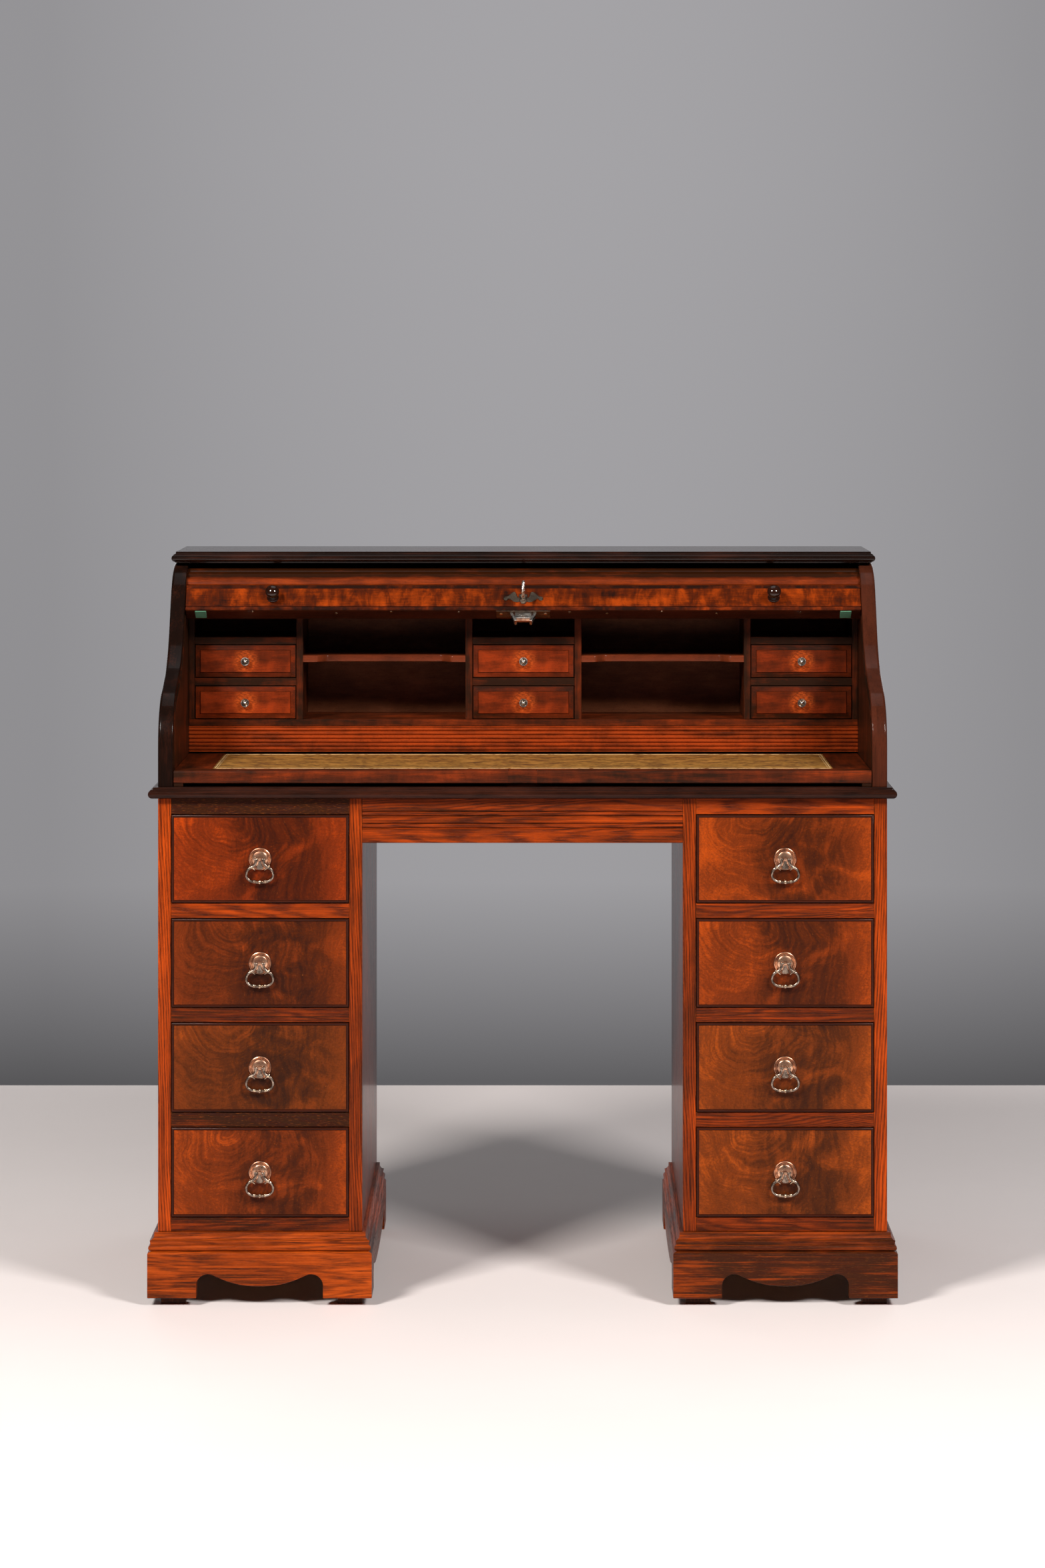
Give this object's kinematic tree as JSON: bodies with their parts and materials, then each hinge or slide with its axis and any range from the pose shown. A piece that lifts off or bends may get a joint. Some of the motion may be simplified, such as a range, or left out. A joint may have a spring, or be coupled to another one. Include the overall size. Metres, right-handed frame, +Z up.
{
  "type": "roll top desk",
  "caption": "Twin-pedestal desk with a slatted roll front on an S-curved case, an inner gallery of small drawers and pigeonholes, a leather writing slide and ring-handled drawers.",
  "frame": {"origin": "middle of the footprint, on the floor", "axes": "+X to the right seen from the front, +Y to the back, +Z up; the drawers open towards -Y"},
  "size_m": [1.124, 0.585, 1.1174],
  "materials": {
    "oak": "red-brown stained open-grain oak, satin lacquer",
    "dark_oak": "near-black brown stained oak, gloss lacquer",
    "flame_mahogany": "clouded flame veneer, polished",
    "red_wood": "dark red-brown stain, satin lacquer",
    "slat_wood": "ribbon-striped brown, satin lacquer",
    "ebonised_wood": "ebonised, gloss",
    "tooled_leather": "mottled olive and gold hide with a tooled line",
    "copper": "dark coppered, worn bright on its edges",
    "gunmetal": "dark patinated, worn bright on its edges",
    "bronze": "dark bronzed",
    "steel": "nickelled, slightly worn"
  },
  "bodies": {
    "case": {"plinth_left": "oak", "pedestal_left": "oak", "cheek_left": "dark_oak", "plinth_right": "oak", "pedestal_right": "oak", "cheek_right": "dark_oak", "kneehole_apron": "oak", "worktop": "dark_oak", "top_board": "dark_oak", "case_back": "dark_oak", "gallery": "red_wood", "reeded_fascia": "red_wood"},
    "slide": {"writing_slide": "red_wood", "leather_inlay": "tooled_leather"},
    "drawer_left_1": {"drawer_left_1": "flame_mahogany", "rose_left_1": "copper"},
    "bail_left_1": {"bail_left_1": "gunmetal"},
    "drawer_left_2": {"drawer_left_2": "flame_mahogany", "rose_left_2": "copper"},
    "bail_left_2": {"bail_left_2": "gunmetal"},
    "drawer_left_3": {"drawer_left_3": "flame_mahogany", "rose_left_3": "copper"},
    "bail_left_3": {"bail_left_3": "gunmetal"},
    "drawer_left_4": {"drawer_left_4": "flame_mahogany", "rose_left_4": "copper"},
    "bail_left_4": {"bail_left_4": "gunmetal"},
    "drawer_right_1": {"drawer_right_1": "flame_mahogany", "rose_right_1": "copper"},
    "bail_right_1": {"bail_right_1": "gunmetal"},
    "drawer_right_2": {"drawer_right_2": "flame_mahogany", "rose_right_2": "copper"},
    "bail_right_2": {"bail_right_2": "gunmetal"},
    "drawer_right_3": {"drawer_right_3": "flame_mahogany", "rose_right_3": "copper"},
    "bail_right_3": {"bail_right_3": "gunmetal"},
    "drawer_right_4": {"drawer_right_4": "flame_mahogany", "rose_right_4": "copper"},
    "bail_right_4": {"bail_right_4": "gunmetal"},
    "small_drawer_left_upper": {"small_drawer_left_upper": "red_wood"},
    "small_drawer_left_lower": {"small_drawer_left_lower": "red_wood"},
    "small_drawer_centre_upper": {"small_drawer_centre_upper": "red_wood"},
    "small_drawer_centre_lower": {"small_drawer_centre_lower": "red_wood"},
    "small_drawer_right_upper": {"small_drawer_right_upper": "red_wood"},
    "small_drawer_right_lower": {"small_drawer_right_lower": "red_wood"},
    "roll_lead": {"lead_rail": "slat_wood", "rail_knob_left": "ebonised_wood", "rail_knob_right": "ebonised_wood", "escutcheon": "bronze", "lock_catch": "steel"},
    "key": {"key": "steel"},
    "tambour_1": {"tambour_1": "slat_wood"},
    "tambour_2": {"tambour_2": "slat_wood"},
    "tambour_3": {"tambour_3": "slat_wood"},
    "tambour_4": {"tambour_4": "slat_wood"},
    "tambour_5": {"tambour_5": "slat_wood"},
    "tambour_6": {"tambour_6": "slat_wood"},
    "tambour_7": {"tambour_7": "slat_wood"},
    "tambour_8": {"tambour_8": "slat_wood"},
    "tambour_9": {"tambour_9": "slat_wood"},
    "tambour_10": {"tambour_10": "slat_wood"}
  },
  "joints": [
    {"name": "drawer_left_1_pull", "type": "slide", "parent": "case", "child": "drawer_left_1", "axis": [0, -1, 0], "range_m": [0, 0.38]},
    {"name": "bail_left_1_lift", "type": "hinge", "parent": "drawer_left_1", "child": "bail_left_1", "pos_m": [-0.39385, -0.2867, 0.6684], "axis": [-1, 0, 0], "range_deg": [0, 85]},
    {"name": "drawer_left_2_pull", "type": "slide", "parent": "case", "child": "drawer_left_2", "axis": [0, -1, 0], "range_m": [0, 0.38]},
    {"name": "bail_left_2_lift", "type": "hinge", "parent": "drawer_left_2", "child": "bail_left_2", "pos_m": [-0.39385, -0.2867, 0.5122], "axis": [-1, 0, 0], "range_deg": [0, 85]},
    {"name": "drawer_left_3_pull", "type": "slide", "parent": "case", "child": "drawer_left_3", "axis": [0, -1, 0], "range_m": [0, 0.38]},
    {"name": "bail_left_3_lift", "type": "hinge", "parent": "drawer_left_3", "child": "bail_left_3", "pos_m": [-0.39385, -0.2867, 0.3556], "axis": [-1, 0, 0], "range_deg": [0, 85]},
    {"name": "drawer_left_4_pull", "type": "slide", "parent": "case", "child": "drawer_left_4", "axis": [0, -1, 0], "range_m": [0, 0.38]},
    {"name": "bail_left_4_lift", "type": "hinge", "parent": "drawer_left_4", "child": "bail_left_4", "pos_m": [-0.39385, -0.2867, 0.19835], "axis": [-1, 0, 0], "range_deg": [0, 85]},
    {"name": "drawer_right_1_pull", "type": "slide", "parent": "case", "child": "drawer_right_1", "axis": [0, -1, 0], "range_m": [0, 0.38]},
    {"name": "bail_right_1_lift", "type": "hinge", "parent": "drawer_right_1", "child": "bail_right_1", "pos_m": [0.39385, -0.2867, 0.6684], "axis": [-1, 0, 0], "range_deg": [0, 85]},
    {"name": "drawer_right_2_pull", "type": "slide", "parent": "case", "child": "drawer_right_2", "axis": [0, -1, 0], "range_m": [0, 0.38]},
    {"name": "bail_right_2_lift", "type": "hinge", "parent": "drawer_right_2", "child": "bail_right_2", "pos_m": [0.39385, -0.2867, 0.5122], "axis": [-1, 0, 0], "range_deg": [0, 85]},
    {"name": "drawer_right_3_pull", "type": "slide", "parent": "case", "child": "drawer_right_3", "axis": [0, -1, 0], "range_m": [0, 0.38]},
    {"name": "bail_right_3_lift", "type": "hinge", "parent": "drawer_right_3", "child": "bail_right_3", "pos_m": [0.39385, -0.2867, 0.3556], "axis": [-1, 0, 0], "range_deg": [0, 85]},
    {"name": "drawer_right_4_pull", "type": "slide", "parent": "case", "child": "drawer_right_4", "axis": [0, -1, 0], "range_m": [0, 0.38]},
    {"name": "bail_right_4_lift", "type": "hinge", "parent": "drawer_right_4", "child": "bail_right_4", "pos_m": [0.39385, -0.2867, 0.19835], "axis": [-1, 0, 0], "range_deg": [0, 85]},
    {"name": "small_drawer_left_upper_pull", "type": "slide", "parent": "case", "child": "small_drawer_left_upper", "axis": [0, -1, 0], "range_m": [0, 0.105]},
    {"name": "small_drawer_left_lower_pull", "type": "slide", "parent": "case", "child": "small_drawer_left_lower", "axis": [0, -1, 0], "range_m": [0, 0.105]},
    {"name": "small_drawer_centre_upper_pull", "type": "slide", "parent": "case", "child": "small_drawer_centre_upper", "axis": [0, -1, 0], "range_m": [0, 0.105]},
    {"name": "small_drawer_centre_lower_pull", "type": "slide", "parent": "case", "child": "small_drawer_centre_lower", "axis": [0, -1, 0], "range_m": [0, 0.105]},
    {"name": "small_drawer_right_upper_pull", "type": "slide", "parent": "case", "child": "small_drawer_right_upper", "axis": [0, -1, 0], "range_m": [0, 0.105]},
    {"name": "small_drawer_right_lower_pull", "type": "slide", "parent": "case", "child": "small_drawer_right_lower", "axis": [0, -1, 0], "range_m": [0, 0.105]},
    {"name": "writing_slide_pull", "type": "slide", "parent": "case", "child": "slide", "axis": [0, -1, 0], "range_m": [0, 0.22]},
    {"name": "roll_front_close", "type": "hinge", "parent": "case", "child": "roll_lead", "pos_m": [0, 0.2235, 0.55333], "axis": [-1, 0, 0], "range_deg": [-32.34, 0]},
    {"name": "key_turn", "type": "hinge", "parent": "roll_lead", "child": "key", "pos_m": [0, -0.05274, 1.04667], "axis": [0, -0.8266, 0.5628], "range_deg": [0, 90]},
    {"name": "tambour_1_travel", "type": "hinge", "parent": "case", "child": "tambour_1", "pos_m": [0, 0.22838, 0.54802], "axis": [-1, 0, 0], "range_deg": [-31.95, 0], "deforming": ["tambour_1"]},
    {"name": "tambour_2_travel", "type": "hinge", "parent": "case", "child": "tambour_2", "pos_m": [0, 0.32924, 0.41591], "axis": [-1, 0, 0], "range_deg": [-24.85, 0], "deforming": ["tambour_2"]},
    {"name": "tambour_3_travel", "type": "hinge", "parent": "case", "child": "tambour_3", "pos_m": [0, 0.42225, 0.28206], "axis": [-1, 0, 0], "range_deg": [-20.3, 0], "deforming": ["tambour_3"]},
    {"name": "tambour_4_travel", "type": "hinge", "parent": "case", "child": "tambour_4", "pos_m": [0, 0.20819, 0.63038], "axis": [-1, 0, 0], "range_deg": [-38.07, 0], "deforming": ["tambour_4"]},
    {"name": "tambour_5_travel", "type": "hinge", "parent": "case", "child": "tambour_5", "pos_m": [0, 0.08126, 0.8751], "axis": [-1, 0, 0], "range_deg": [-87.9, 0], "deforming": ["tambour_5"]},
    {"name": "tambour_6_travel", "type": "hinge", "parent": "case", "child": "tambour_6", "pos_m": [0, 0.05358, 0.9578], "axis": [-1, 0, 0], "range_deg": [-136.23, 0], "deforming": ["tambour_6"]},
    {"name": "tambour_7_travel", "type": "hinge", "parent": "case", "child": "tambour_7", "pos_m": [0, 0.05219, 0.97224], "axis": [-1, 0, 0], "range_deg": [-148.4, 0], "deforming": ["tambour_7"]},
    {"name": "tambour_8_travel", "type": "hinge", "parent": "case", "child": "tambour_8", "pos_m": [0, 0.04944, 0.9644], "axis": [-1, 0, 0], "range_deg": [-140.83, 0], "deforming": ["tambour_8"]},
    {"name": "tambour_9_travel", "type": "hinge", "parent": "case", "child": "tambour_9", "pos_m": [0, 0.03083, 0.93846], "axis": [-1, 0, 0], "range_deg": [-116.01, 0], "deforming": ["tambour_9"]},
    {"name": "tambour_10_travel", "type": "hinge", "parent": "case", "child": "tambour_10", "pos_m": [0, 0.00086, 0.91296], "axis": [-1, 0, 0], "range_deg": [-93.47, 0], "deforming": ["tambour_10"]}
  ],
  "couplings": [
    {"joint": "tambour_1_travel", "follows": "roll_front_close", "ratio": 0.98763},
    {"joint": "tambour_2_travel", "follows": "roll_front_close", "ratio": 0.7679},
    {"joint": "tambour_3_travel", "follows": "roll_front_close", "ratio": 0.6274},
    {"joint": "tambour_4_travel", "follows": "roll_front_close", "ratio": 1.1768},
    {"joint": "tambour_5_travel", "follows": "roll_front_close", "ratio": 2.7176},
    {"joint": "tambour_6_travel", "follows": "roll_front_close", "ratio": 4.2119},
    {"joint": "tambour_7_travel", "follows": "roll_front_close", "ratio": 4.5881},
    {"joint": "tambour_8_travel", "follows": "roll_front_close", "ratio": 4.354},
    {"joint": "tambour_9_travel", "follows": "roll_front_close", "ratio": 3.5867},
    {"joint": "tambour_10_travel", "follows": "roll_front_close", "ratio": 2.8896}
  ]
}
